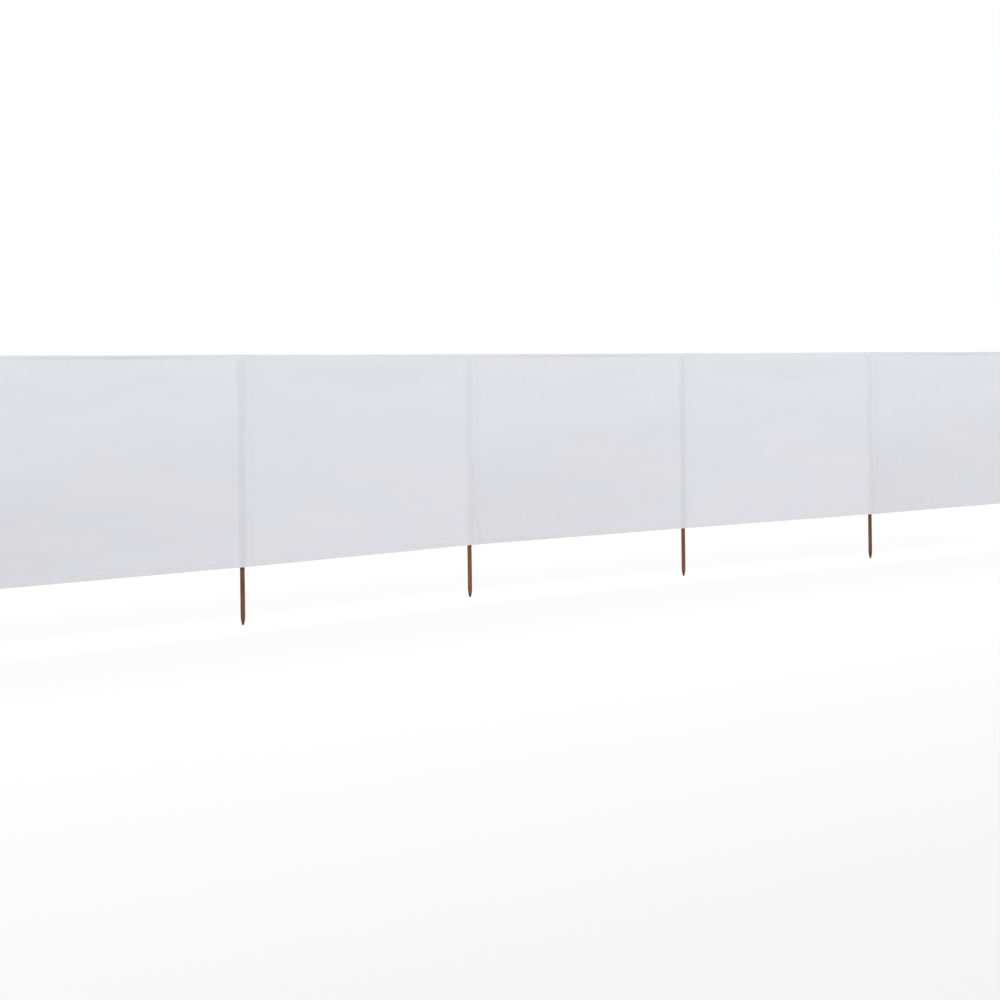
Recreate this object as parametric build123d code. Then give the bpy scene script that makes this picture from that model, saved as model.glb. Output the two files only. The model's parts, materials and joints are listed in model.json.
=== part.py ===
from build123d import *
from math import atan2, cos, degrees, hypot, radians, sin
import os

# A low beach windbreak, in millimetres.
# One long cloth runs in bays across a row of round, pointed poles. Every pole stands in a pocket,
# a strip of the same cloth sewn to the back, open below and closed at the top.
# +X runs along the row, +Y is the sheltered side with the pockets, and +Z is up.
# The origin is the blunt end of the middle pole's point. The poles are held by the ground.

# The row: one heading for each bay, in degrees from +X, as the poles were staked out
bay_headings = (1.4, 1.4, 4.7, -2.5, -4.1, -0.8)
bay_length = 1333.0

# The poles
pole_length = 1000.0
pole_diameter = 18.0
point_length = 38.0
point_flat_diameter = 6.0
pole_top_chamfer = 1.5

# The cloth
cloth_height = 800.0
cloth_thickness = 0.8
turned_layers = 2
top_hem_width = 16.0
bottom_hem_width = 20.0

# The pockets
pole_clearance = 0.4
pole_top_clearance = 2.0
pocket_ease_left = 11.0
pocket_ease_right = 25.0
seam_allowance = 6.0

# Worked out from the sizes above
bay_count = len(bay_headings)
middle_pole = bay_count // 2
pole_radius = pole_diameter / 2
cloth_back = pole_radius + pole_clearance
cloth_front = cloth_back + cloth_thickness
turned_thickness = turned_layers * cloth_thickness
pocket_depth = cloth_front + cloth_back
pocket_roof_drop = cloth_thickness * hypot(pocket_depth, top_hem_width) / pocket_depth
foot_length = pole_length + pole_top_clearance + top_hem_width - cloth_height
cloth_top = foot_length + cloth_height
seam_left = pole_radius + pocket_ease_left
seam_right = pole_radius + pocket_ease_right


def pole_places():
    """Where each pole stands, walking from bay to bay, with the middle pole at the origin."""
    places = [Vector(0, 0)]
    for heading in bay_headings:
        places.append(places[-1] + Vector(bay_length, 0).rotate(Axis.Z, heading))
    middle = places[middle_pole]
    return [place - middle for place in places]


places = pole_places()


def headings_at(pole):
    """Headings of the bays to the left and to the right of a pole. An end pole has one bay."""
    left = bay_headings[max(pole - 1, 0)]
    right = bay_headings[min(pole, bay_count - 1)]
    return left, right


def from_pole(pole, heading, along, back):
    """A plan point, measured from a pole's centre along a bay and towards its back."""
    return places[pole] + Vector(along, back).rotate(Axis.Z, heading)


def fold_point(pole, depth):
    """Where a surface that runs this far in front of the poles turns from one bay to the next."""
    left, right = headings_at(pole)
    reach = depth / cos(radians(right - left) / 2)
    return from_pole(pole, (left + right) / 2, 0, -reach)


def standing(corners, low, high):
    """A plan outline, given by its corners, raised between two heights."""
    outline = make_face(Polyline(*corners, close=True))
    return Pos(0, 0, low) * extrude(outline, high - low)


def make_pole():
    """A round pole, turned to a rounded, blunt point and chamfered at the top."""
    shoulder = pole_length - pole_top_chamfer
    side = [
        (point_flat_diameter / 2, 0),
        (0, 0),
        (0, pole_length),
        (pole_radius - pole_top_chamfer, pole_length),
        (pole_radius, shoulder),
        (pole_radius, point_length),
    ]
    nose = TangentArc((pole_radius, point_length), side[0], tangent=(0, -1))
    outline = Plane.XZ * make_face(Polyline(*side) + nose)
    return revolve(outline, Axis.Z)


def make_cloth_bay(bay):
    """One bay of cloth, tight across the front of its two poles and mitred to its neighbours."""
    heading = bay_headings[bay]
    front = [fold_point(bay, cloth_front), fold_point(bay + 1, cloth_front)]
    back = [fold_point(bay, cloth_back), fold_point(bay + 1, cloth_back)]
    if bay == 0:
        front[0] = from_pole(0, heading, -seam_left - seam_allowance, -cloth_front)
        back[0] = from_pole(0, heading, -seam_left - seam_allowance, -cloth_back)
    if bay == bay_count - 1:
        front[1] = from_pole(bay_count, heading, seam_right + seam_allowance, -cloth_front)
        back[1] = from_pole(bay_count, heading, seam_right + seam_allowance, -cloth_back)
    return standing([front[0], front[1], back[1], back[0]], foot_length, cloth_top)


def make_hem(bay, low, high):
    """An edge turned twice, lying on the back of a bay from one pocket's edge to the next."""
    heading = bay_headings[bay]
    start = seam_right + seam_allowance
    end = seam_left + seam_allowance
    raised = turned_thickness - cloth_back
    corners = [
        from_pole(bay, heading, start, -cloth_back),
        from_pole(bay + 1, heading, -end, -cloth_back),
        from_pole(bay + 1, heading, -end, raised),
        from_pole(bay, heading, start, raised),
    ]
    return standing(corners, low, high)


def pocket_side(pole, heading, way, seam, wall):
    """Tangent point and foot of a pocket's wall, on the side given by way (-1 left, 1 right)."""
    radius = cloth_back + wall
    tangent = 90 - 2 * degrees(atan2(cloth_back, seam))
    rise = sin(radians(tangent))
    run = cos(radians(tangent))
    foot = (radius + cloth_back * rise) / run
    return (
        from_pole(pole, heading, way * radius * run, radius * rise),
        from_pole(pole, heading, way * foot, -cloth_back),
    )


def pocket_body(pole, wall):
    """The space inside a pocket grown by a wall: a drop shape that rounds the pole."""
    left, right = headings_at(pole)
    right_tangent, right_foot = pocket_side(pole, right, 1, seam_right, wall)
    left_tangent, left_foot = pocket_side(pole, left, -1, seam_left, wall)
    behind = from_pole(pole, (left + right) / 2, 0, cloth_back + wall)
    base = Polyline(left_tangent, left_foot, fold_point(pole, cloth_back), right_foot, right_tangent)
    outline = make_face(base + ThreePointArc(right_tangent, behind, left_tangent))
    return Pos(0, 0, foot_length) * extrude(outline, cloth_height)


def under_slope(pole, drop):
    """All below the sloping top of a pocket, which rises to the cloth's top edge."""
    left, right = headings_at(pole)
    high = cloth_top - drop
    low = high - top_hem_width
    slope = top_hem_width / pocket_depth
    reach = 2 * pocket_depth
    side = [
        (-reach, foot_length),
        (reach, foot_length),
        (reach, low - slope * (reach - cloth_front)),
        (-reach, high + slope * (reach - cloth_back)),
    ]
    width = 2 * (seam_left + seam_right)
    block = extrude(Plane.YZ * make_face(Polyline(*side, close=True)), width, both=True)
    place = places[pole]
    return Pos(place.X, place.Y, 0) * Rot(0, 0, (left + right) / 2) * block


def make_flange(pole, heading, way, seam):
    """The sewn edge of a pocket's strip, turned under and flat on the back of the cloth."""
    edge = seam + seam_allowance
    raised = turned_thickness - cloth_back
    corners = [
        from_pole(pole, heading, way * seam, -cloth_back),
        from_pole(pole, heading, way * edge, -cloth_back),
        from_pole(pole, heading, way * edge, raised),
        from_pole(pole, heading, way * seam, raised),
    ]
    return standing(corners, foot_length, cloth_top)


def make_pocket(pole):
    """A pole's pocket: a strip that goes round the pole, sewn down on both sides."""
    left, right = headings_at(pole)
    outside = pocket_body(pole, cloth_thickness) & under_slope(pole, 0)
    inside = pocket_body(pole, 0) & under_slope(pole, pocket_roof_drop)
    strip = outside - inside
    strip += make_flange(pole, right, 1, seam_right)
    strip += make_flange(pole, left, -1, seam_left)
    return strip


os.makedirs("parts", exist_ok=True)
pole = make_pole()
for number, place in enumerate(places, start=1):
    export_step(Pos(place.X, place.Y, 0) * pole, f"parts/pole_{number}.step")
    export_step(make_pocket(number - 1), f"parts/pole_pocket_{number}.step")
for bay in range(bay_count):
    export_step(make_cloth_bay(bay), f"parts/cloth_bay_{bay + 1}.step")
    top_hem = make_hem(bay, cloth_top - top_hem_width, cloth_top)
    export_step(top_hem, f"parts/top_hem_{bay + 1}.step")
    bottom_hem = make_hem(bay, foot_length, foot_length + bottom_hem_width)
    export_step(bottom_hem, f"parts/bottom_hem_{bay + 1}.step")
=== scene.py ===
# %% [markdown]
# A beach windbreak
#
# A windbreak is a long white cloth on a row of round wooden poles. Every pole stands in a pocket
# sewn to the back of the cloth, and its bare, pointed foot goes into the sand. This lesson dresses
# the measured model: it keeps every size and place, and gives the row its wood, its woven cloth,
# its turned edges and its stitching. Everything is in metres, with X along the row, Y towards the
# back and Z up.

# %% Load the measured model
import json
import math

import bpy
import numpy as np
from mathutils import Matrix, Vector
from mathutils.bvhtree import BVHTree

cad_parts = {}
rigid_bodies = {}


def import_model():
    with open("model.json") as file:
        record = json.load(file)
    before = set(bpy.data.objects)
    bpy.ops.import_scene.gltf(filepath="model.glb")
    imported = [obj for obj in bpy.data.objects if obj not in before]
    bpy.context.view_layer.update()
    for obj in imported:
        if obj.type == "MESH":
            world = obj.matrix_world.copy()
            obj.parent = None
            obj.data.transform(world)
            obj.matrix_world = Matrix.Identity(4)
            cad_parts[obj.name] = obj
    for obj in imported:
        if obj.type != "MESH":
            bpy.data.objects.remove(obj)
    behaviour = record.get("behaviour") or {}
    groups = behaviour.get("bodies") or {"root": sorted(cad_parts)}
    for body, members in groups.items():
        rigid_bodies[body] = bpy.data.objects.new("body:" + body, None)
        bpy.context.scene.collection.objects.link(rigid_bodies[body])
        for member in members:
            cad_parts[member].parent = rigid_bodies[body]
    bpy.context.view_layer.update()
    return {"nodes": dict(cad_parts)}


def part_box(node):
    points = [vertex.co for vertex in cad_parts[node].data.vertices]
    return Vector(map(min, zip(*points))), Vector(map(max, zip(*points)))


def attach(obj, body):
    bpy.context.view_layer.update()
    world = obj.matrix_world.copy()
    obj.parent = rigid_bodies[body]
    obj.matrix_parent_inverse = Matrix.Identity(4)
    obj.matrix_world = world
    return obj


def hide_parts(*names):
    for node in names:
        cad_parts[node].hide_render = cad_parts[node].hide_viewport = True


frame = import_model()
bpy.ops.object.select_all(action="DESELECT")

# %% [markdown]
# Sizes read from the model
#
# The places of the poles and the edges of the cloth are read from the model, so the looks stay on
# it when it changes. Only the seams, and what is finer than the model, such as a stitch, get sizes
# of their own here. Each bay has a straight frame of its own: `along` from one pole to the next,
# `back` at a right angle to it, and `up`.

# %% Poles, bays and heights
pole_count = sum(name.startswith("pole_") and "pocket" not in name for name in frame["nodes"])
bay_count = pole_count - 1


def pole_centre(number):
    """The plan centre of a pole, from its box."""
    low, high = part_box(f"pole_{number}")
    return Vector(((low.x + high.x) / 2, (low.y + high.y) / 2, 0))


pole_low, pole_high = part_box("pole_1")
pole_radius = (pole_high.x - pole_low.x) / 2
pole_length = pole_high.z
cloth_low, cloth_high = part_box("cloth_bay_1")
foot_length = cloth_low.z
cloth_height = cloth_high.z - cloth_low.z
top_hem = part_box("top_hem_1")[1].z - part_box("top_hem_1")[0].z
bottom_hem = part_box("bottom_hem_1")[1].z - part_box("bottom_hem_1")[0].z
centres = [pole_centre(number) for number in range(1, pole_count + 1)]
bay_length = (centres[1] - centres[0]).length
print(pole_count, "poles of radius", round(pole_radius, 4))
print(bay_count, "bays of", round(bay_length, 4))
print("cloth", round(cloth_height, 4), "high from", round(foot_length, 4))
print("top and bottom hem", round(top_hem, 4), round(bottom_hem, 4))

# %% Frames of the bays
def heading(bay):
    """The direction of a bay in plan, in radians. Beyond the ends, the end bay's own."""
    bay = min(max(bay, 0), bay_count - 1)
    run = centres[bay + 1] - centres[bay]
    return math.atan2(run.y, run.x)


def bay_frame(bay):
    """Moves a bay's own metres (along, back, up from the bottom edge) into the row."""
    corner = centres[bay] + Vector((0, 0, foot_length))
    return Matrix.Translation(corner) @ Matrix.Rotation(heading(bay), 4, "Z")


bends = [heading(bay + 1) - heading(bay) for bay in range(bay_count - 1)]
print("the row bends by", [round(math.degrees(bend), 1) for bend in bends], "degrees at its poles")

# %% [markdown]
# Camera
#
# The picture is taken from the seaward side, low and with a long lens, looking along the row at
# about 45 degrees. The uprights stay parallel, so the camera looks level and the picture is framed
# by a lens shift. The camera also leans a little, which turns every pole by the same angle.

# %% Set up the camera
eye = Vector((-7.219, -7.13, 0.9275))
view_direction = Vector((0.7209, 0.693, 0))
camera_lean = math.radians(-0.74)

bpy.ops.object.camera_add(location=eye)
camera = bpy.context.object
camera.name = "camera"
camera.rotation_mode = "QUATERNION"
level = view_direction.to_track_quat("-Z", "Y")
camera.rotation_quaternion = level @ Matrix.Rotation(camera_lean, 4, "Z").to_quaternion()
camera.data.sensor_width = 36
camera.data.lens = 87.15
camera.data.shift_y = -0.1247
bpy.context.scene.camera = camera
print("lens", camera.data.lens, "mm, looking along", [round(c, 3) for c in view_direction])

# %% [markdown]
# Shader sums written as Python
#
# A weave or a grain is a formula of position. To write it as one, a small class wraps a socket, and
# every sign in an expression adds its Math node. All other nodes come from one method, `node`,
# which takes the settings first and then the values or links of the inputs. The Mix node has
# sockets of the same name for numbers and for colours, so its colour sockets go by number.

# %% A socket with the signs of arithmetic
mix_share, mix_first, mix_second, mix_result = 0, 6, 7, 2


class Wire:
    """A shader socket. Sums on it build Math nodes."""

    def __init__(self, tree, output=None):
        self.tree = tree
        self.output = output

    def node(self, kind, settings=None, inputs=None, output=0):
        """Adds a node of this kind and gives one of its outputs."""
        made = self.tree.nodes.new(kind)
        for name, value in (settings or {}).items():
            if name == "stops":
                set_stops(made.color_ramp, value)
            else:
                setattr(made, name, value)
        for name, value in (inputs or {}).items():
            if isinstance(value, Wire):
                self.tree.links.new(value.output, made.inputs[name])
            else:
                made.inputs[name].default_value = value
        return Wire(self.tree, made.outputs[output])

    def maths(self, operation, *values):
        """A Math node on this socket and up to two more values."""
        inputs = dict(enumerate((self, *values)))
        return self.node("ShaderNodeMath", {"operation": operation}, inputs)

    def __add__(self, other):
        return self.maths("ADD", other)

    __radd__ = __add__

    def __mul__(self, other):
        return self.maths("MULTIPLY", other)

    __rmul__ = __mul__

    def __sub__(self, other):
        return self.maths("SUBTRACT", other)

    def __rsub__(self, other):
        return self * -1 + other

    def __truediv__(self, other):
        return self.maths("DIVIDE", other)

    def mix(self, first, second):
        """Mixes two colours, with this socket as the share of the second."""
        inputs = {mix_share: self, mix_first: first, mix_second: second}
        return self.node("ShaderNodeMix", {"data_type": "RGBA"}, inputs, mix_result)

    def ramp(self, *stops):
        """A smooth curve through (place, height) stops, for a place from 0 to 1."""
        return self.node("ShaderNodeValToRGB", {"stops": stops}, {"Fac": self})


# %% Ramps, new materials and finished surfaces
def set_stops(ramp, stops):
    """Places the grey stops of a colour ramp."""
    ramp.interpolation = "EASE"
    while len(ramp.elements) < len(stops):
        ramp.elements.new(0.5)
    for element, (place, height) in zip(ramp.elements, stops):
        element.position = place
        element.color = (height, height, height, 1)


def new_material(name):
    """A material, and a Wire to add its nodes with."""
    material = bpy.data.materials.new(name)
    material.use_nodes = True
    return material, Wire(material.node_tree)


def finish_surface(material, colour, roughness, height, depth, specular, sheen=0.0):
    """Links the parts that vary and sets the ones that don't."""
    shader = material.node_tree.nodes["Principled BSDF"]
    wire = Wire(material.node_tree)
    bump = wire.node("ShaderNodeBump", {}, {"Height": height, "Distance": depth, "Strength": 1.0})
    for name, value in (("Base Color", colour), ("Roughness", roughness), ("Normal", bump)):
        material.node_tree.links.new(value.output, shader.inputs[name])
    shader.inputs["Specular IOR Level"].default_value = specular
    shader.inputs["Sheen Weight"].default_value = sheen


# %% [markdown]
# Light and floor
#
# White cloth needs light that is even but not flat. A pale sky lights it from all round. A long
# soft box hangs above each side of the row, like a strip light, and makes the top of the cloth a
# little brighter than its foot. A far lamp from the left brings out the upright folds. To the
# camera, and in a mirror or through glass, the sky is plain white. The floor is pale card, which
# takes the row's shadow, mixed for the same rays with some light of its own, so that it reads as
# white.

# %% Sky and lamp
sky_strength = 0.37
lamp_strength = 0.70
lamp_spread = math.radians(30)
lamp_place = (-5, -6, 6)
lamp_direction = Vector((4, 7.3, -5))
box_size = (18, 2)
box_height = 3.2
box_distance = 2.6
box_tilt = math.radians(45)
box_powers = {-1: 156, 1: 230}
white = (1, 1, 1, 1)


def seen_directly(wire):
    """1 for the rays that show a background as it is: to the eye, mirrored or through glass."""
    seen = wire.node("ShaderNodeLightPath", {}, {}, "Is Camera Ray")
    for kind in ("Is Glossy Ray", "Is Transmission Ray"):
        seen = seen.maths("MAXIMUM", wire.node("ShaderNodeLightPath", {}, {}, kind))
    return seen


world = bpy.data.worlds.new("sky")
bpy.context.scene.world = world
world.use_nodes = True
sky = Wire(world.node_tree)
skylight = sky.node("ShaderNodeBackground", {}, {"Color": white, "Strength": sky_strength})
plain_white = sky.node("ShaderNodeBackground", {}, {"Color": white, "Strength": 1})
backdrop = sky.node("ShaderNodeMixShader", {}, {0: seen_directly(sky), 1: skylight, 2: plain_white})
world.node_tree.links.new(backdrop.output, world.node_tree.nodes["World Output"].inputs["Surface"])

bpy.ops.object.light_add(type="SUN", location=lamp_place)
lamp = bpy.context.object
lamp.name = "broad_lamp"
lamp.data.angle = lamp_spread
lamp.data.energy = lamp_strength
lamp.rotation_euler = lamp_direction.to_track_quat("-Z", "Y").to_euler()
for side, power in box_powers.items():
    bpy.ops.object.light_add(type="AREA", location=(0, side * box_distance, box_height))
    soft_box = bpy.context.object
    soft_box.name = "soft_box"
    soft_box.data.shape = "RECTANGLE"
    soft_box.data.size, soft_box.data.size_y = box_size
    soft_box.data.energy = power
    soft_box.visible_camera = False
    soft_box.rotation_euler = (-side * box_tilt, 0, 0)
bpy.context.scene.view_settings.view_transform = "Standard"
print("sky", sky_strength, "lamp", lamp_strength, "soft boxes", box_powers, "W")

# %% Floor
floor_size = 120
floor_level = -0.0005
floor_colour = (0.82, 0.82, 0.83, 1)
floor_share = 0.75
floor_glow = 1.06

bpy.ops.mesh.primitive_plane_add(size=floor_size, location=(0, 0, floor_level))
floor = bpy.context.object
floor.name = "floor"
card, wire = new_material("pale_card")
matt = card.node_tree.nodes["Principled BSDF"]
matt.inputs["Base Color"].default_value = floor_colour
matt.inputs["Roughness"].default_value = 0.9
matt.inputs["Specular IOR Level"].default_value = 0.1
glow = wire.node("ShaderNodeEmission", {}, {"Strength": floor_glow})
paper = Wire(card.node_tree, matt.outputs["BSDF"])
share = seen_directly(wire) * floor_share
shown = wire.node("ShaderNodeMixShader", {}, {0: share, 1: paper, 2: glow})
card.node_tree.links.new(shown.output, card.node_tree.nodes["Material Output"].inputs["Surface"])
floor.data.materials.append(card)
print("floor", floor_size, "m square")

# %% [markdown]
# The cloth's finish
#
# The real cloth is a plain weave of white polyester, thin enough for the dark poles to show through
# it as a faint band, which is painted into its colour as shade. Its pattern has to follow the
# cloth, so it reads a UV map that holds real metres: `along` from the bay's left pole, and `up`
# from the bottom edge. Threads are two crossed sine waves. The band and the seams are drawn by
# their distance from the nearest pole, which a Wrap node gives with its sign. Shade beside the
# seams and in the folds is painted into the colour too.

# %% Where the seams run
seam_left = 0.020
seam_right = 0.034
seam_allowance = 0.006
stitch_inset = 0.003
edge_left = seam_left + seam_allowance
edge_right = seam_right + seam_allowance
hem_line_low = bottom_hem - stitch_inset
hem_line_high = cloth_height - top_hem + stitch_inset
seam_line_left = -(seam_left + stitch_inset)
seam_line_right = seam_right + stitch_inset
print("seams at", seam_line_left, seam_line_right, "hem lines at", hem_line_low, hem_line_high)

# %% Parts of the cloth's pattern
thread_pitch = 0.0009
weave_relief = 0.00022
groove = 0.0021
gathered = 0.014
pucker_size = 0.0035
pucker_reach = 0.03
streak_length, streak_width = 0.11, 0.0016
cloud_length, cloud_height = 0.5, 0.19
cloth_roughness, cloud_roughness = 0.82, 0.08
white_cool = (0.765, 0.777, 0.815, 1)
white_warm = (0.784, 0.780, 0.813, 1)


def line_at(place, centre, half_width):
    """A soft line: 1 on the centre, falling to 0 at half its width."""
    return 1 - ((place - centre) / half_width).maths("ABSOLUTE").maths("MINIMUM", 1)


def seam_lines(from_pole, half_width):
    """Soft lines on the two seams of a pocket."""
    right = line_at(from_pole, seam_line_right, half_width)
    return right + line_at(from_pole, seam_line_left, half_width)


def hem_lines(up):
    """Soft lines on the stitched rows of the two hems."""
    return line_at(up, hem_line_low, groove) + line_at(up, hem_line_high, groove)


def streaks(cloth_map, along, up, detail):
    """Noise on the cloth, with streaks of this size along and up."""
    scale = (1 / along, 1 / up, 1)
    drawn = cloth_map.node("ShaderNodeMapping", {}, {"Vector": cloth_map, "Scale": scale})
    inputs = {"Vector": drawn, "Scale": 1, "Detail": detail}
    return cloth_map.node("ShaderNodeTexNoise", {"noise_dimensions": "2D"}, inputs)


def cloth_places(wire):
    """The map in metres, and its two parts, along and up."""
    cloth_map = wire.node("ShaderNodeUVMap", {"uv_map": "metres"})
    along = wire.node("ShaderNodeSeparateXYZ", {}, {0: cloth_map}, 0)
    up = wire.node("ShaderNodeSeparateXYZ", {}, {0: cloth_map}, 1)
    return cloth_map, along, up


def white_in(tone, warmth):
    """White cloth at this brightness, a little warmer in some places than in others."""
    level = tone.node("ShaderNodeCombineColor", {}, {0: tone, 1: tone, 2: tone})
    tint = warmth.mix(white_cool, white_warm)
    settings = {"data_type": "RGBA", "blend_type": "MULTIPLY"}
    inputs = {mix_share: 1.0, mix_first: tint, mix_second: level}
    return tone.node("ShaderNodeMix", settings, inputs, mix_result)


def finish_cloth(material, colour, clouds, height):
    """Matt polyester: hardly any gloss, and a trace of sheen."""
    roughness = cloth_roughness + clouds * cloud_roughness
    finish_surface(material, colour, roughness, height, weave_relief, specular=0.08, sheen=0.02)


# %% Plain weave
least_tone = 0.964
weft_tone, warp_tone, cloud_tone, weave_tone = 0.026, 0.014, 0.030, 0.016
weave_lift, weft_lift, warp_lift = 0.17, 0.3, 0.25


def plain_weave(cloth_map, along, up):
    """Brightness, height and broad variation of the weave, for a piece with this map."""
    turns = 2 * math.pi / thread_pitch
    weave = (along * turns).maths("SINE") * (up * turns).maths("SINE")
    weft = streaks(cloth_map, streak_length, streak_width, 3)
    warp = streaks(cloth_map, streak_width, streak_length, 3)
    clouds = streaks(cloth_map, cloud_length, cloud_height, 2)
    tone = least_tone + weft * weft_tone + warp * warp_tone
    tone = tone + clouds * cloud_tone + weave * weave_tone
    return tone, weave * weave_lift + weft * weft_lift + warp * warp_lift, clouds


# %% The cloth of the bays
# Painted shade of the dark pole behind the thin cloth: a darker band across the pole, as stops in
# metres.
pole_shade_shape = (
    (-0.030, 0), (-0.013, 0.85), (-0.005, 1), (0.003, 0.95),
    (0.012, 0.55), (0.022, 0.2), (0.034, 0),
)
pole_shade_darkening = 0.076
band_strength, band_swing, band_loss = 0.95, 0.12, 0.25
# Painted shade beside the pocket's right seam, where the cloth past the sewn ridge faces away from
# the light.
seam_shade_shape = ((0.030, 0), (0.044, 1), (0.052, 0.7), (0.075, 0))
seam_shade_darkening = 0.03
seam_shade_contrast, seam_shade_offset = 1.4, 0.1
# Painted shade of the folds: below a slanting line in every other bay, growing towards the foot in
# the rest.
slant_height = 0.38
slant_rise = 0.10
slant_waver = 0.16
slant_fade = 0.30
slant_at_left, slant_loss = 1.15, 0.35
slant_shade_darkening = 0.046
foot_shade_darkening = 0.012
# Darker stitch lines: partly the stitch holes, partly painted shade in the sunken seams and hems.
seam_darkening, hem_darkening = 0.03, 0.02
pucker_lift, seam_sink, hem_sink = 1.2, 0.5, 0.4
cloud_warmth, shade_warmth = 0.7, 0.35


def across_pole(from_pole, *shape):
    """A ramp over the distance from the pole, given as (metres, height) stops."""
    start, width = shape[0][0], shape[-1][0] - shape[0][0]
    stops = [((place - start) / width, height) for place, height in shape]
    return ((from_pole - start) / width).ramp(*stops)


def bay_cloth(name, slanting):
    """The cloth between two poles, with painted shade below a slanting line or growing towards its
    foot.
    """
    material, wire = new_material(name)
    cloth_map, along, up = cloth_places(wire)
    tone, height, clouds = plain_weave(cloth_map, along, up)
    from_pole = along.maths("WRAP", bay_length / 2, -bay_length / 2)
    # Painted shade of the folds: under a slanting line, or growing evenly towards the foot.
    if slanting:
        below = (slant_height + along * slant_rise - up + clouds * slant_waver) / slant_fade
        painted_shade = below.ramp((0.0, 0), (0.5, 0.75), (1, 1)) * (slant_at_left - along * slant_loss)
        tone = tone * (1 - painted_shade * slant_shade_darkening)
    else:
        painted_shade = ((cloth_height - up) / cloth_height).ramp((0.0, 0), (1, 1))
        tone = tone * (1 - painted_shade * foot_shade_darkening)

    # Painted shade of the pole behind the cloth, up to the top hem, stronger at every other pole
    # and lower down.
    pole_shade_band = across_pole(from_pole, *pole_shade_shape) * (hem_line_high - up).maths("GREATER_THAN", 0)
    place = wire.node("ShaderNodeTexCoord", {}, {}, "Object")
    row = wire.node("ShaderNodeSeparateXYZ", {}, {0: place}, 0)
    swing = (row * math.pi / bay_length).maths("COSINE") * band_swing
    pole_shade_weight = band_strength - swing - up * band_loss
    # Painted shade beside the right seam, patchy with the clouds.
    seam_shade = across_pole(from_pole, *seam_shade_shape) * (clouds * seam_shade_contrast - seam_shade_offset)
    seams = seam_lines(from_pole, groove)
    hems = hem_lines(up)
    drawn_in = seam_lines(from_pole, gathered)
    puckers = streaks(cloth_map, pucker_reach, pucker_size, 1)

    tone = tone * (1 - pole_shade_band * pole_shade_weight * pole_shade_darkening) * (1 - seam_shade * seam_shade_darkening)
    # Stitch lines: partly the holes, partly painted shade in the sunken line.
    tone = tone * (1 - seams * seam_darkening - hems * hem_darkening)
    height = height + drawn_in * puckers * pucker_lift - seams * seam_sink - hems * hem_sink
    # The clouds and the painted shade of the folds warm the white a little.
    warmth = clouds * cloud_warmth + painted_shade * shade_warmth
    finish_cloth(material, white_in(tone, warmth), clouds, height)
    return material


# %% The cloth of the hems and pockets
# Darker stitch line on the hems: partly the stitch holes, partly painted shade in the sunken line.
turned_darkening = 0.05
turned_sink = 0.6
# Painted shade where the strip lies on the dark pole, below the top hem.
pocket_shade_reach = 0.020
pocket_shade_limit, pocket_shade_softness = 0.7, 0.3
pocket_shade_darkening = 0.10
strip_pucker_lift = 0.5


def hem_cloth():
    """The turned edges: one stitched line, and small puckers beside it."""
    material, wire = new_material("white_hem_weave")
    cloth_map, along, up = cloth_places(wire)
    tone, height, clouds = plain_weave(cloth_map, along, up)
    hems = hem_lines(up)
    puckers = streaks(cloth_map, pucker_size, pucker_reach, 1)
    height = height + puckers * pucker_lift - hems * turned_sink
    # The stitch line is darkened: partly the holes, partly painted shade.
    colour = white_in(tone * (1 - hems * turned_darkening), clouds)
    finish_cloth(material, colour, clouds, height)
    return material


def pocket_cloth():
    """The strips round the poles, with painted shade where the cloth lies on the dark pole."""
    material, wire = new_material("white_pocket_weave")
    cloth_map, along, up = cloth_places(wire)
    tone, height, clouds = plain_weave(cloth_map, along, up)
    under_roof = (hem_line_high - up).maths("GREATER_THAN", 0)
    # Painted shade of the dark pole under the strip.
    pocket_pole_shade = line_at(along, 0, pocket_shade_reach).maths("SMOOTH_MIN", pocket_shade_limit, pocket_shade_softness)
    pocket_pole_shade = pocket_pole_shade * under_roof
    puckers = streaks(cloth_map, pucker_reach, pucker_size, 1)
    tone = tone * (1 - pocket_pole_shade * pocket_shade_darkening)
    finish_cloth(material, white_in(tone, clouds), clouds, height + puckers * strip_pucker_lift)
    return material


bay_weaves = [bay_cloth("white_bay_weave", False), bay_cloth("white_weave_slant_shade", True)]
hem_weave = hem_cloth()
pocket_weave = pocket_cloth()
print("threads every", thread_pitch * 1000, "mm")

# %% [markdown]
# Wood and thread
#
# The poles are turned softwood with a red-brown stain. Stain darkens where grain lets it in, so
# long thin streaks run up each pole, and the cut faces of the point, where the ends of the fibres
# lie open, are darkest. Just under the cloth the wood gets painted shade. The sewing thread is
# twisted white polyester.

# %% Stained wood
stain_light = (0.238, 0.093, 0.044, 1)
stain_dark = (0.068, 0.026, 0.016, 1)
grain_relief = 0.0006
open_grain_height = 0.030
hem_shade_height = 0.014
fine_share, broad_share, blotch_share, pole_share = 1.7, 1.3, 0.5, 0.6
share_taken_off = 1.62
# Darker end grain at the point, and painted shade just under the cloth.
darker_end, hem_shadow_darkening = 0.5, 0.5
least_roughness, fine_roughness, end_roughness = 0.48, 0.22, 0.2


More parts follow.
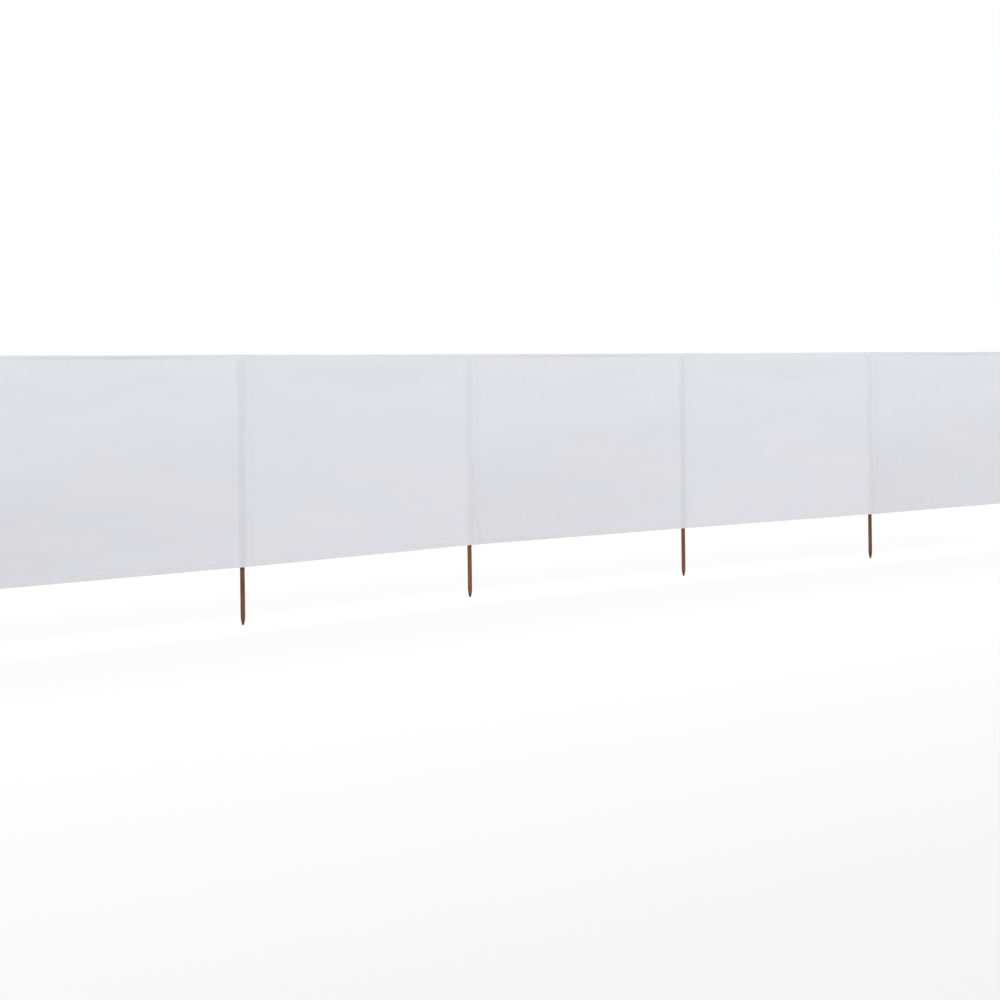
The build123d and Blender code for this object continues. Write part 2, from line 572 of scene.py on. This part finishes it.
def stained_wood():
    """Red-brown stain over straight grain, with painted shade just under the cloth."""
    material, wire = new_material("stained_softwood")
    place = wire.node("ShaderNodeTexCoord", {}, {}, "Object")
    height = wire.node("ShaderNodeSeparateXYZ", {}, {0: place}, 2)

    def grain(across, length, detail):
        """Noise drawn out up the pole."""
        scale = (1 / across, 1 / across, 1 / length)
        drawn = wire.node("ShaderNodeMapping", {}, {"Vector": place, "Scale": scale})
        return wire.node("ShaderNodeTexNoise", {}, {"Vector": drawn, "Scale": 1, "Detail": detail})

    fine = grain(0.0013, 0.11, 4)
    broad = grain(0.006, 0.5, 3)
    pole_tone = grain(1.7, 8, 0)
    blotch = grain(0.02, 0.06, 2)
    open_grain = 1 - (height / open_grain_height).maths("MINIMUM", 1)
    # Painted shade: the wood is darker just under the cloth, where the pocket shades it.
    hem_shadow = line_at(height, foot_length, hem_shade_height)
    streaked = fine * fine_share + broad * broad_share + blotch * blotch_share
    streaked = streaked + pole_tone * pole_share - share_taken_off
    share = streaked + open_grain * darker_end + hem_shadow * hem_shadow_darkening
    colour = share.maths("MINIMUM", 1).maths("MAXIMUM", 0).mix(stain_light, stain_dark)
    roughness = least_roughness + fine * fine_roughness + open_grain * end_roughness
    finish_surface(material, colour, roughness, fine + broad * 0.6, grain_relief, specular=0.25)
    return material


wood = stained_wood()


# %% Sewing thread
thread_dark = (0.56, 0.57, 0.62, 1)
thread_light = (0.76, 0.76, 0.79, 1)
twists_per_metre = 2600
twist_relief = 0.0001


def sewing_thread():
    """Twisted white thread."""
    material, wire = new_material("white_thread")
    place = wire.node("ShaderNodeTexCoord", {}, {}, "Object")
    inputs = {"Vector": place, "Scale": twists_per_metre, "Detail": 1}
    twist = wire.node("ShaderNodeTexNoise", {}, inputs)
    colour = twist.mix(thread_dark, thread_light)
    roughness = 0.55 + twist * 0.1
    finish_surface(material, colour, roughness, twist, twist_relief, specular=0.3, sheen=0.1)
    return material


thread = sewing_thread()
print("finishes:", [m.name for m in bpy.data.materials if m.name.startswith(("white", "stained"))])

# %% [markdown]
# Poles
#
# A pole is a broom-like rod, turned at the foot to a rounded, blunt point that goes into sand, and
# eased at the top. It is raised from a circle, ring by ring: small steps up the point, where each
# ring is scaled to the round of the nose, and long steps up the shaft. Turned wood is never quite
# even, so each ring gets a slightly different girth. One pole is made, and each copy is turned
# about its axis before it goes to its place.

# %% Sizes of the point, measured on the model
pole_sides = 48
shaft_step = 0.04
turned_under = 0.0001
girth_spread = 0.00005
end_insets = (0.002, 0.003)
end_crown = 0.0003
pole_points = [v.co for v in bpy.data.objects["pole_1"].data.vertices]
outline = sorted((p.z, (Vector((p.x, p.y, 0)) - centres[0]).length) for p in pole_points)
blunt_radius = max(r for z, r in outline if z < 0.0001)
point_length = min(z for z, r in outline if r > pole_radius - 0.00001)
top_easing = pole_radius - max(r for z, r in outline if z > pole_length - 0.0001)
print("point", round(point_length, 4), "with an end of radius", round(blunt_radius, 4))
print("top eased by", round(top_easing, 4))


# %% Raise a pole from a circle
def nose_radius(height):
    """The round of the point: an arc from the shaft, without a corner, to the blunt face."""
    drop = pole_radius - blunt_radius
    arc = (point_length**2 + drop**2) / (2 * drop)
    return pole_radius - arc + math.sqrt(arc**2 - (point_length - height) ** 2)


def raise_pole():
    """A pole on the origin, as one closed skin."""
    girth = np.random.default_rng(11)
    bpy.ops.object.select_all(action="DESELECT")
    bpy.ops.mesh.primitive_circle_add(vertices=pole_sides, radius=blunt_radius, fill_type="NGON")
    pole = bpy.context.object
    bpy.ops.object.mode_set(mode="EDIT")
    bpy.ops.mesh.select_all(action="SELECT")
    nose = [(z, nose_radius(z)) for z in np.linspace(0, point_length, 11)[1:]]
    shaft = np.arange(point_length + shaft_step, pole_length - 2 * top_easing, shaft_step)
    rings = nose + [(z, pole_radius - turned_under + girth.normal(0, girth_spread)) for z in shaft]
    rings += [(pole_length - top_easing, pole_radius), (pole_length, pole_radius - top_easing)]
    height, radius = 0, blunt_radius
    for z, r in rings:
        bpy.ops.mesh.extrude_region_move(TRANSFORM_OT_translate={"value": (0, 0, z - height)})
        bpy.ops.transform.resize(value=(r / radius, r / radius, 1), center_override=(0, 0, z))
        height, radius = z, r
    for thickness in end_insets:
        bpy.ops.mesh.inset(thickness=thickness)
    bpy.ops.transform.translate(value=(0, 0, end_crown))
    bpy.ops.mesh.select_all(action="SELECT")
    bpy.ops.mesh.normals_make_consistent(inside=False)
    bpy.ops.object.mode_set(mode="OBJECT")
    bpy.ops.object.shade_smooth_by_angle(angle=math.radians(35))
    return pole


pattern_pole = raise_pole()
print("one pole has", len(pattern_pole.data.polygons), "faces")

# %% Copy the pole to its places
turn_step = math.radians(77)
for number, centre in enumerate(centres, start=1):
    mesh = pattern_pole.data.copy()
    mesh.transform(Matrix.Translation(centre) @ Matrix.Rotation(turn_step * number, 4, "Z"))
    mesh.materials.append(wood)
    rod = bpy.data.objects.new(f"turned_pole_{number}", mesh)
    bpy.context.collection.objects.link(rod)
    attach(rod, "root")
    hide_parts(f"pole_{number}")
bpy.data.objects.remove(pattern_pole)
print(len(centres), "poles stand at", [round(c.x, 3) for c in centres])

# %% [markdown]
# A bay of cloth
#
# Cloth between two stakes is pulled tight along the row, but its edges are sewn and a little
# shorter than its middle, so shallow folds run between the corners. A cloth simulation finds such
# folds by itself. The grid is pinned where the cloth is sewn to its two pockets, its hems are
# gathered a little, and a starting ripple says where the folds should lie. Two bays are simulated
# and used in turn, as the folds in the picture repeat. The grid's rows and columns lie closer
# together at the seams and hems, which later get finer shapes.

# %% Lay out the grid of a bay
columns = np.concatenate([
    np.linspace(0, edge_right, 11)[:-1],
    np.linspace(edge_right, bay_length - edge_left, 80),
    np.linspace(bay_length - edge_left, bay_length, 8)[1:],
])
rows = np.concatenate([
    np.linspace(0, bottom_hem, 5)[:-1],
    np.linspace(bottom_hem, cloth_height - top_hem, 48),
    np.linspace(cloth_height - top_hem, cloth_height, 5)[1:],
])
gather_width = 0.012
gather_reach = 0.03
broad_fold, fold_start, fold_climb, fold_width = 0.004, 0.10, 0.45, 0.12
level_fold, level_pitch = 0.0015, 0.22
unevenness = 0.0004
full_turn = 6.28


def soft_step(x):
    """0 below 0, 1 above 1, and smooth between them."""
    x = np.clip(x, 0, 1)
    return x * x * (3 - 2 * x)


def near(x, place, width):
    """1 at the place, fading away over the width."""
    return np.exp(-(((x - place) / width) ** 2))


def add_grid(name, across, up):
    """An upright sheet with its vertices at these places, and a map of them in metres."""
    bpy.ops.object.select_all(action="DESELECT")
    cells = {"x_subdivisions": len(across) - 1, "y_subdivisions": len(up) - 1}
    bpy.ops.mesh.primitive_grid_add(size=1, **cells)
    sheet = bpy.context.object
    sheet.name = name
    mesh = sheet.data
    flat = np.stack(np.meshgrid(across, up), axis=-1).reshape(-1, 2)
    mesh.vertices.foreach_set("co", np.insert(flat, 1, 0, axis=1).ravel())
    mesh.uv_layers[0].name = "metres"
    corners = np.empty(len(mesh.loops), dtype=int)
    mesh.loops.foreach_get("vertex_index", corners)
    mesh.uv_layers[0].data.foreach_set("uv", flat[corners].ravel())
    return sheet, flat


print(len(columns), "columns and", len(rows), "rows")


# %% Simulate two bays
def starting_ripple(pattern, along, up):
    """Where the folds begin: one broad fold that rises to the right, or a few level ones."""
    if pattern == 0:
        return broad_fold * near(up, fold_start + fold_climb * along / bay_length, fold_width)
    return level_fold * np.sin(up * 2 * math.pi / level_pitch + 1)


def pin_and_gather(sheet, flat):
    """Marks what is sewn to the pockets, and where the thread draws the cloth in."""
    along, up = flat.T
    pinned = (along < edge_right + 0.0001) | (along > bay_length - edge_left - 0.0001)
    drawn = np.maximum(near(up, hem_line_low, gather_width), near(up, hem_line_high, gather_width))
    beside_left = near(along, seam_line_right, gather_reach)
    beside_right = near(along, bay_length + seam_line_left, gather_reach)
    beside = np.maximum(beside_left, beside_right)
    pin = sheet.vertex_groups.new(name="pinned")
    pin.add(np.flatnonzero(pinned).tolist(), 1.0, "REPLACE")
    gather = sheet.vertex_groups.new(name="gathered")
    for vertex, weight in enumerate(np.maximum(drawn, beside)):
        gather.add([vertex], float(weight), "REPLACE")


def hang_tight(sheet, frames=24):
    """Lets the cloth settle between its pins, and keeps the shape."""
    cloth = sheet.modifiers.new("hang", "CLOTH")
    fabric = cloth.settings
    fabric.quality = 6
    fabric.mass = 0.05
    fabric.air_damping = 2
    fabric.tension_stiffness = 40
    fabric.compression_stiffness = 20
    fabric.shear_stiffness = 10
    fabric.bending_stiffness = 0.5
    fabric.tension_damping = fabric.compression_damping = fabric.shear_damping = 10
    fabric.bending_damping = 1
    fabric.vertex_group_mass = "pinned"
    fabric.vertex_group_shrink = "gathered"
    fabric.shrink_min = 0.0
    fabric.shrink_max = 0.004
    fabric.effector_weights.gravity = 0.3
    cloth.collision_settings.use_collision = False
    cloth.point_cache.frame_start = 1
    cloth.point_cache.frame_end = frames
    for step in range(1, frames + 1):
        bpy.context.scene.frame_set(step)
    bpy.ops.object.modifier_apply(modifier=cloth.name)


def make_pattern_bay(pattern):
    """One bay of cloth in its own frame, folded and smoothed."""
    sheet, flat = add_grid(f"pattern_bay_{pattern}", columns, rows)
    along, up = flat.T
    free = soft_step(np.minimum(along - edge_right, bay_length - edge_left - along) / 0.15)
    uneven = np.random.default_rng(5 + pattern).normal(0, unevenness, len(along))
    depth = (starting_ripple(pattern, along, up) + uneven) * free
    sheet.data.vertices.foreach_set("co", np.stack([along, depth, up], axis=1).ravel())
    pin_and_gather(sheet, flat)
    hang_tight(sheet)
    sheet.vertex_groups.clear()
    finer = sheet.modifiers.new("finer", "SUBSURF")
    finer.levels = finer.render_levels = 1
    finer.boundary_smooth = "PRESERVE_CORNERS"
    bpy.ops.object.modifier_apply(modifier=finer.name)
    return sheet


bpy.context.scene.frame_set(1)
pattern_bays = [make_pattern_bay(pattern) for pattern in (0, 1)]
bpy.context.scene.frame_set(1)
for bay in pattern_bays:
    depths = [v.co.y * 1000 for v in bay.data.vertices]
    print(bay.name, "folds from", round(min(depths), 1), "to", round(max(depths), 1), "mm")

# %% [markdown]
# Over the poles and along the seams
#
# At a pole the cloth is not flat. It bulges over the round of the pole, which ends below the top
# hem. Beside the pole it falls back into a shallow furrow, and where the pocket's turned edge is
# sewn on, the layers push it out again into a low ridge. Two bays also meet there at a small angle,
# which tight cloth takes as a soft bend. One formula in the distance from the pole gives all this,
# so that neighbouring bays agree where they meet.

# %% Shape the cloth near its poles
cloth_depth = pole_radius + 0.0008
cloth_thickness = 0.0005
bulge, bulge_place, bulge_width = 0.0008, 0.002, 0.011
furrow, furrow_place, furrow_width = 0.0010, 0.024, 0.009
ridge, ridge_place, ridge_width = 0.0012, 0.043, 0.011
left_ridge_share, left_ridge_width = 0.35, 0.007
hem_dent, hem_dent_width = 0.0001, 0.003
eased_above, eased_over = 0.004, 0.016
wander_share = 0.3
bend_width = 0.012
mitre_width = 0.006
own_ripple = 0.0007
pole_top = pole_length - foot_length


def drawn_depth(from_pole, up):
    """How far the cloth stands behind its plane at this distance from a pole."""
    below_top = soft_step((pole_top + eased_above - up) / eased_over)
    over_pole = bulge * near(from_pole, bulge_place, bulge_width) * below_top
    beside = furrow * near(from_pole, furrow_place, furrow_width)
    left_ridge = left_ridge_share * near(from_pole, seam_line_left, left_ridge_width)
    seams = ridge * (near(from_pole, ridge_place, ridge_width) + left_ridge)
    hems = near(up, hem_line_low, hem_dent_width) + near(up, hem_line_high, hem_dent_width)
    wander = 1 + wander_share * np.sin(up * 31) * np.sin(up * 83 + 1)
    return (beside - seams) * wander + hem_dent * hems - over_pole


def rest_places(mesh):
    """Each vertex's place in the flat cloth, from the map in metres."""
    uv = np.empty(len(mesh.loops) * 2)
    corners = np.empty(len(mesh.loops), dtype=int)
    mesh.uv_layers["metres"].data.foreach_get("uv", uv)
    mesh.loops.foreach_get("vertex_index", corners)
    flat = np.empty((len(mesh.vertices), 2))
    flat[corners] = uv.reshape(-1, 2)
    return flat


def vertex_places(mesh):
    """The places of a mesh's vertices, in rows of x, y and z."""
    where = np.empty(len(mesh.vertices) * 3)
    mesh.vertices.foreach_get("co", where)
    return where.reshape(-1, 3)


def bend_at(bay):
    """Half the angle that the row turns by at the left pole of this bay."""
    return (heading(bay) - heading(bay - 1)) / 2


def shape_bay(mesh, bay):
    """Fits a copy of a pattern bay between its own two poles."""
    flat = rest_places(mesh)
    along, up = flat.T
    where = vertex_places(mesh)
    from_left, from_right = along, along - bay_length
    from_pole = np.where(from_left < -from_right, from_left, from_right)
    left, right = math.tan(bend_at(bay)), math.tan(bend_at(bay + 1))
    bend_left, bend_right = np.exp(-from_left / bend_width), np.exp(from_right / bend_width)
    soft_bend = bend_width * (left * bend_left + right * bend_right)
    own = np.random.default_rng(40 + bay).uniform(0, full_turn, 3)
    wave = np.sin(along * 5.3 + own[0] + 2 * np.sin(up * 4 + own[1]))
    ripple = own_ripple * wave * np.sin(up * 9 + along * 2 + own[2])
    free = soft_step(np.minimum(along - edge_right, bay_length - edge_left - along) / 0.2)
    depth = where[:, 1] + drawn_depth(from_pole, up) + soft_bend + ripple * free - cloth_depth
    mitre = left * np.exp(-from_left / mitre_width) - right * np.exp(from_right / mitre_width)
    where[:, 0] += depth * mitre
    where[:, 1] = depth
    if bay == 0:
        extend(where, flat, edge_left, 1 - np.clip(along / edge_right, 0, 1))
    if bay == bay_count - 1:
        extend(where, flat, -edge_right, 1 - np.clip(-from_right / edge_left, 0, 1))
    where[:, 2] = np.clip(where[:, 2], 0, cloth_height)
    mesh.vertices.foreach_set("co", where.ravel())
    return flat


def extend(where, flat, length, share):
    """Carries the end of the cloth past the last pole, out to the edge of its pocket."""
    where[:, 0] -= length * share
    flat[:, 0] -= length * share


# %% Make the six bays
def pick(piece):
    """Makes a piece the only selected object, and the active one."""
    bpy.ops.object.select_all(action="DESELECT")
    bpy.context.view_layer.objects.active = piece
    piece.select_set(True)


def dress(piece, slot, material, *nodes):
    """Smooths a finished piece, gives it its material and puts it in place of the model's nodes."""
    pick(piece)
    bpy.ops.object.shade_smooth_by_angle(angle=math.radians(50))
    piece.data.materials.clear()
    piece.data.materials.append(material)
    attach(piece, "root")
    if nodes:
        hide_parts(*nodes)


def thicken(piece, thickness):
    """Turns a sheet into cloth of this thickness, with its sheet in the middle."""
    pick(piece)
    layer = piece.modifiers.new("thickness", "SOLIDIFY")
    layer.thickness = thickness
    layer.offset = 0
    bpy.ops.object.modifier_apply(modifier=layer.name)


def set_map(mesh, flat):
    """Writes places in the flat cloth back to the map in metres."""
    corners = np.empty(len(mesh.loops), dtype=int)
    mesh.loops.foreach_get("vertex_index", corners)
    mesh.uv_layers["metres"].data.foreach_set("uv", flat[corners].ravel())


bays = []
for bay in range(bay_count):
    mesh = pattern_bays[(bay + 1) % 2].data.copy()
    flat = shape_bay(mesh, bay)
    set_map(mesh, flat)
    piece = bpy.data.objects.new(f"bay_{bay + 1}", mesh)
    bpy.context.collection.objects.link(piece)
    bays.append(piece)
for pattern in pattern_bays:
    bpy.data.objects.remove(pattern)
print("bays:", [piece.name for piece in bays])

# %% [markdown]
# Hems
#
# Both long edges are turned over twice and sewn down. A hem is copied from the bay's own surface:
# the faces of its strip are kept, moved back until the hem will lie on the cloth, and thickened. So
# it follows every fold.

# %% Cut the hems from the bays
hem_thickness = 0.0011
free_lift = 0.0006
cut_margin = 0.0005


def cut_strip(bay_piece, name, low, high):
    """A copy of the part of a bay between two heights and between its pockets."""
    mesh = bay_piece.data.copy()
    strip = bpy.data.objects.new(name, mesh)
    bpy.context.collection.objects.link(strip)
    flat = rest_places(mesh)
    along, up = flat.T
    inside = (along > edge_right - cut_margin) & (along < bay_length - edge_left + cut_margin)
    inside &= (up > low - cut_margin) & (up < high + cut_margin)
    pick(strip)
    bpy.ops.object.mode_set(mode="EDIT")
    bpy.ops.mesh.select_mode(type="VERT")
    bpy.ops.mesh.select_all(action="DESELECT")
    bpy.ops.object.mode_set(mode="OBJECT")
    mesh.vertices.foreach_set("select", ~inside)
    bpy.ops.object.mode_set(mode="EDIT")
    bpy.ops.mesh.delete(type="VERT")
    bpy.ops.object.mode_set(mode="OBJECT")
    return strip


def lay_behind(strip, stitched, free_edge, bay):
    """Moves a hem behind its bay, and lets its unsewn margin lift a little."""
    mesh = strip.data
    along, up = rest_places(mesh).T
    lift = np.clip((up - stitched) / (free_edge - stitched), 0, 1)
    wave = 0.5 + 0.5 * np.sin(along * 260 + 3 * np.sin(along * 37 + bay))
    where = vertex_places(mesh)
    where[:, 1] += (cloth_thickness + hem_thickness) / 2 + free_lift * lift * wave
    mesh.vertices.foreach_set("co", where.ravel())


hems = []
for bay, bay_piece in enumerate(bays):
    top = cut_strip(bay_piece, f"turned_top_{bay + 1}", cloth_height - top_hem, cloth_height)
    lay_behind(top, hem_line_high, cloth_height - top_hem, bay)
    bottom = cut_strip(bay_piece, f"turned_bottom_{bay + 1}", 0, bottom_hem)
    lay_behind(bottom, hem_line_low, bottom_hem, bay)
    hems.append((top, bottom))
print(len(hems), "pairs of hems")

# %% Thicken and place bays and hems
for bay, bay_piece in enumerate(bays):
    top, bottom = hems[bay]
    for piece in (bay_piece, top, bottom):
        thicken(piece, cloth_thickness if piece is bay_piece else hem_thickness)
        piece.data.transform(bay_frame(bay))
    dress(bay_piece, "cloth", bay_weaves[bay % 2], f"cloth_bay_{bay + 1}")
    dress(top, "hem", hem_weave, f"top_hem_{bay + 1}")
    dress(bottom, "hem", hem_weave, f"bottom_hem_{bay + 1}")
print("faces of a bay", len(bays[0].data.polygons), "and of a hem", len(hems[0][0].data.polygons))

# %% [markdown]
# Pole pockets
#
# A pocket is a strip of the same cloth, sewn to the back on both sides of the pole. Its edges are
# turned under, it runs tight from one seam round the pole, and on the other side, where the pocket
# is wide, it hangs a little slack. Its section is a path of straight runs and arcs. The strip is a
# grid whose columns follow that path, and near the top every column leans forward to the top edge,
# which closes the pocket.

# %% The section of a pocket
strip_thickness = 0.0005
strip_clearance = 0.0003
layer_gap = 0.00005
left_slack = 0.35
strip_radius = pole_radius + strip_thickness / 2 + strip_clearance
fold_radius = 0.0004
lower_layer = -cloth_depth + (cloth_thickness + strip_thickness) / 2 + layer_gap
upper_layer = lower_layer + 2 * fold_radius


def tangent_angle(foot, low):
    """The angle, from straight aside, at which a tight strip from this foot meets the pole."""
    reach = math.hypot(foot, low)
    return math.acos(strip_radius / reach) - math.atan2(-low, foot)


def pocket_half(seam, edge, slack):
    """One side of the section, from its turned edge to the pole's back: (aside, back, slack)."""
    angle = tangent_angle(seam, upper_layer)
    touch = (strip_radius * math.cos(angle), strip_radius * math.sin(angle))
    path = [(seam + 0.001, lower_layer, 0), (seam + 0.0035, lower_layer, 0)]
    fold = (edge - fold_radius, (lower_layer + upper_layer) / 2)
    for turn in np.radians((-90, -30, 30, 90)):
        out, rise = fold_radius * math.cos(turn), fold_radius * math.sin(turn)
        path.append((fold[0] + out, fold[1] + rise, 0))
    path += [(seam + 0.003, upper_layer, 0), (seam + 0.001, upper_layer, 0)]
    for share in np.linspace(0.03, 1, 9):
        aside = seam + (touch[0] - seam) * share
        back = upper_layer + (touch[1] - upper_layer) * share
        path.append((aside, back, slack * math.sin(math.pi * share)))
    for turn in np.linspace(angle, math.pi / 2, 8)[1:]:
        path.append((strip_radius * math.cos(turn), strip_radius * math.sin(turn), 0))
    return path


right_half = pocket_half(seam_right, edge_right, 1.0)
left_half = pocket_half(seam_left, edge_left, 1.0)
left_half = [(-aside, back, left_slack * slack) for aside, back, slack in left_half]
section = np.array(left_half + right_half[-2::-1])
run = np.concatenate([[0], np.cumsum(np.hypot(*np.diff(section[:, :2], axis=0).T))])
run -= run[len(left_half) - 1]
print("a strip is", round(run[-1] - run[0], 4), "m wide, from", len(section), "points")

# %% Make the seven strips
mouth_rows = np.linspace(0, 0.02, 4)
shaft_rows = np.linspace(0.02, cloth_height - 0.024, 50)
roof_rows = np.linspace(cloth_height - 0.02, cloth_height, 6)
strip_rows = np.concatenate([mouth_rows[:-1], shaft_rows, roof_rows])
closing_slope = top_hem / (2 * cloth_depth)
slack_depth = 0.0022
sewn_depth = 0.002


def make_strip(pole):
    """The pocket of one pole, fitted to the two bays that meet there."""
    strip, flat = add_grid(f"pocket_strip_{pole + 1}", run, strip_rows)
    count = len(strip_rows)
    aside, back, slack = (np.tile(column, count) for column in section.T)
    up = flat[:, 1]
    own = np.random.default_rng(70 + pole).uniform(0, full_turn, 4)
    folds = 0.6 + 0.4 * np.sin(up * 7 + own[0]) + 0.35 * np.sin(up * 23 + own[1] + aside * 90)
    sewn = np.clip((np.abs(aside) - np.where(aside > 0, seam_right, seam_left)) / 0.001 + 1, 0, 1)
    soft_bend = bend_width * math.tan(bend_at(pole)) * np.exp(-np.abs(aside) / bend_width)
    back = back - slack_depth * slack * folds
    back += (drawn_depth(aside, up) + soft_bend) * sewn
    roof = cloth_height - closing_slope * (back + cloth_depth)
    over = np.clip((up - roof) / np.maximum(cloth_height - roof, 1e-6), 0, 1)
    height = np.minimum(up, roof) + (cloth_height - roof) * over
    closed = lower_layer + drawn_depth(aside, height) + soft_bend
    back = back + (closed - back) * over * (np.abs(back + cloth_depth) > sewn_depth)
    left, right = heading(pole - 1), heading(pole)
    turn = left + (right - left) * soft_step((aside / pole_radius + 1) / 2)
    place = centres[pole]
    x = place.x + aside * np.cos(turn) - back * np.sin(turn)
    y = place.y + aside * np.sin(turn) + back * np.cos(turn)
    strip.data.vertices.foreach_set("co", np.stack([x, y, height + foot_length], axis=1).ravel())
    thicken(strip, strip_thickness)
    dress(strip, "pocket", pocket_weave, f"pole_pocket_{pole + 1}")
    return strip


strips = [make_strip(pole) for pole in range(pole_count)]
print(len(strips), "strips of", len(strips[0].data.polygons), "faces")

# %% [markdown]
# Stitches
#
# A lockstitch shows as a row of short, slightly sunken threads on both faces. One stitch is a small
# faceted bar. Its copies are laid end to end along each seam, and a ray cast onto the cloth finds
# the surface under both ends of each, so that the rows follow the folds. The stitches of one bay or
# pole are one mesh.

# %% One stitch and its rows
stitch_pitch = 0.004
stitch_length = 0.0031
stitch_width = 0.00045
stitch_rise = 0.00016
stitch_rings = ((0.0, -0.6, 0.6), (0.25, 0.7, 1.0), (0.75, 0.7, 1.0), (1.0, -0.6, 0.6))
ray_start = 0.06


def cloth_surface(pieces):
    """A tree of all faces of these pieces, for casting rays onto them."""
    points, faces = [], []
    for piece in pieces:
        first = len(points)
        points += [v.co.copy() for v in piece.data.vertices]
        faces += [[first + i for i in polygon.vertices] for polygon in piece.data.polygons]
    return BVHTree.FromPolygons(points, faces)


def surface_place(surface, matrix, along, up, side):
    """The point and normal of the cloth at a bay's place, seen from the front (-1) or back (1)."""
    start = matrix @ Vector((along, ray_start * side, up))
    towards = matrix.to_3x3() @ Vector((0, -side, 0))
    point, normal, _, _ = surface.ray_cast(start, towards, 2 * ray_start)
    return point, normal


def stitch_points(first, last, normal):
    """A stitch between two ends, as four rings of three corners: blunt ends, raised middle."""
    direction = (last - first).normalized()
    across = direction.cross(normal).normalized() * stitch_width / 2
    rise = normal * stitch_rise
    points = []
    for share, lift, girth in stitch_rings:
        middle = first.lerp(last, share) + rise * lift
        points += [middle + across * girth, middle + rise * girth, middle - across * girth]
    return points


stitch_faces = [(2, 1, 0), (9, 10, 11)]
for ring in (0, 3, 6):
    for corner in range(3):
        beside = (corner + 1) % 3
        stitch_faces.append((ring + corner, ring + beside, ring + 3 + beside, ring + 3 + corner))


def sew(name, surface, lines):
    """One mesh of stitches along lines, each (matrix, start, end, side) in a bay's along and up."""
    points, faces = [], []
    for matrix, start, end, side in lines:
        length = math.dist(start, end)
        step = Vector((end[0] - start[0], end[1] - start[1])) / length
        for k in range(int(length / stitch_pitch)):
            ends = []
            for reach in (k * stitch_pitch, k * stitch_pitch + stitch_length):
                along, up = start[0] + step.x * reach, start[1] + step.y * reach
                ends.append(surface_place(surface, matrix, along, up, side))
            if ends[0][0] is None or ends[1][0] is None:
                continue
            base = len(points)
            points += stitch_points(ends[0][0], ends[1][0], ends[0][1])
            faces += [[base + i for i in face] for face in stitch_faces]
    mesh = bpy.data.meshes.new(name)
    mesh.from_pydata(points, [], faces)
    mesh.update()
    row = bpy.data.objects.new(name, mesh)
    bpy.context.collection.objects.link(row)
    dress(row, "hem", thread)
    return len(faces) // len(stitch_faces)


# %% Sew the hems and the pockets
sewn = 0
for bay, bay_piece in enumerate(bays):
    surface = cloth_surface([bay_piece, *hems[bay]])
    matrix = bay_frame(bay)
    lines = []
    for up in (hem_line_low, hem_line_high):
        ends = ((edge_right, up), (bay_length - edge_left, up))
        lines += [(matrix, *ends, side) for side in (-1, 1)]
    sewn += sew(f"hem_stitches_{bay + 1}", surface, lines)
for pole in range(pole_count):
    left, right = max(pole - 1, 0), min(pole, bay_count - 1)
    surface = cloth_surface([strips[pole], bays[left], bays[right]])
    left_along = seam_line_left + (bay_length if pole else 0)
    right_along = seam_line_right + (0 if pole < bay_count else bay_length)
    lines = []
    for bay, along in ((left, left_along), (right, right_along)):
        ends = ((along, 0), (along, cloth_height))
        lines += [(bay_frame(bay), *ends, side) for side in (-1, 1)]
    sewn += sew(f"pocket_stitches_{pole + 1}", surface, lines)
print(sewn, "stitches")

# %% [markdown]
# What is cloth
#
# For every piece of cloth, the width it was cut to is worked out. A bay's hems and stitches and the
# two strips that hold it are gathered with it, and so is the pole of each strip. Nothing more is
# done with them here.

for bay, bay_piece in enumerate(bays):
    width = bay_length + (edge_left if bay == 0 else 0)
    width += edge_right if bay == bay_count - 1 else 0
    sewn_on = [*hems[bay], bpy.data.objects[f"hem_stitches_{bay + 1}"]]
    held_by = [strips[bay], strips[bay + 1]]
for pole, strip in enumerate(strips):
    width = float(run[-1] - run[0])
    rod = bpy.data.objects[f"turned_pole_{pole + 1}"]
print("declared", len(bays), "bays and", len(strips), "strips")
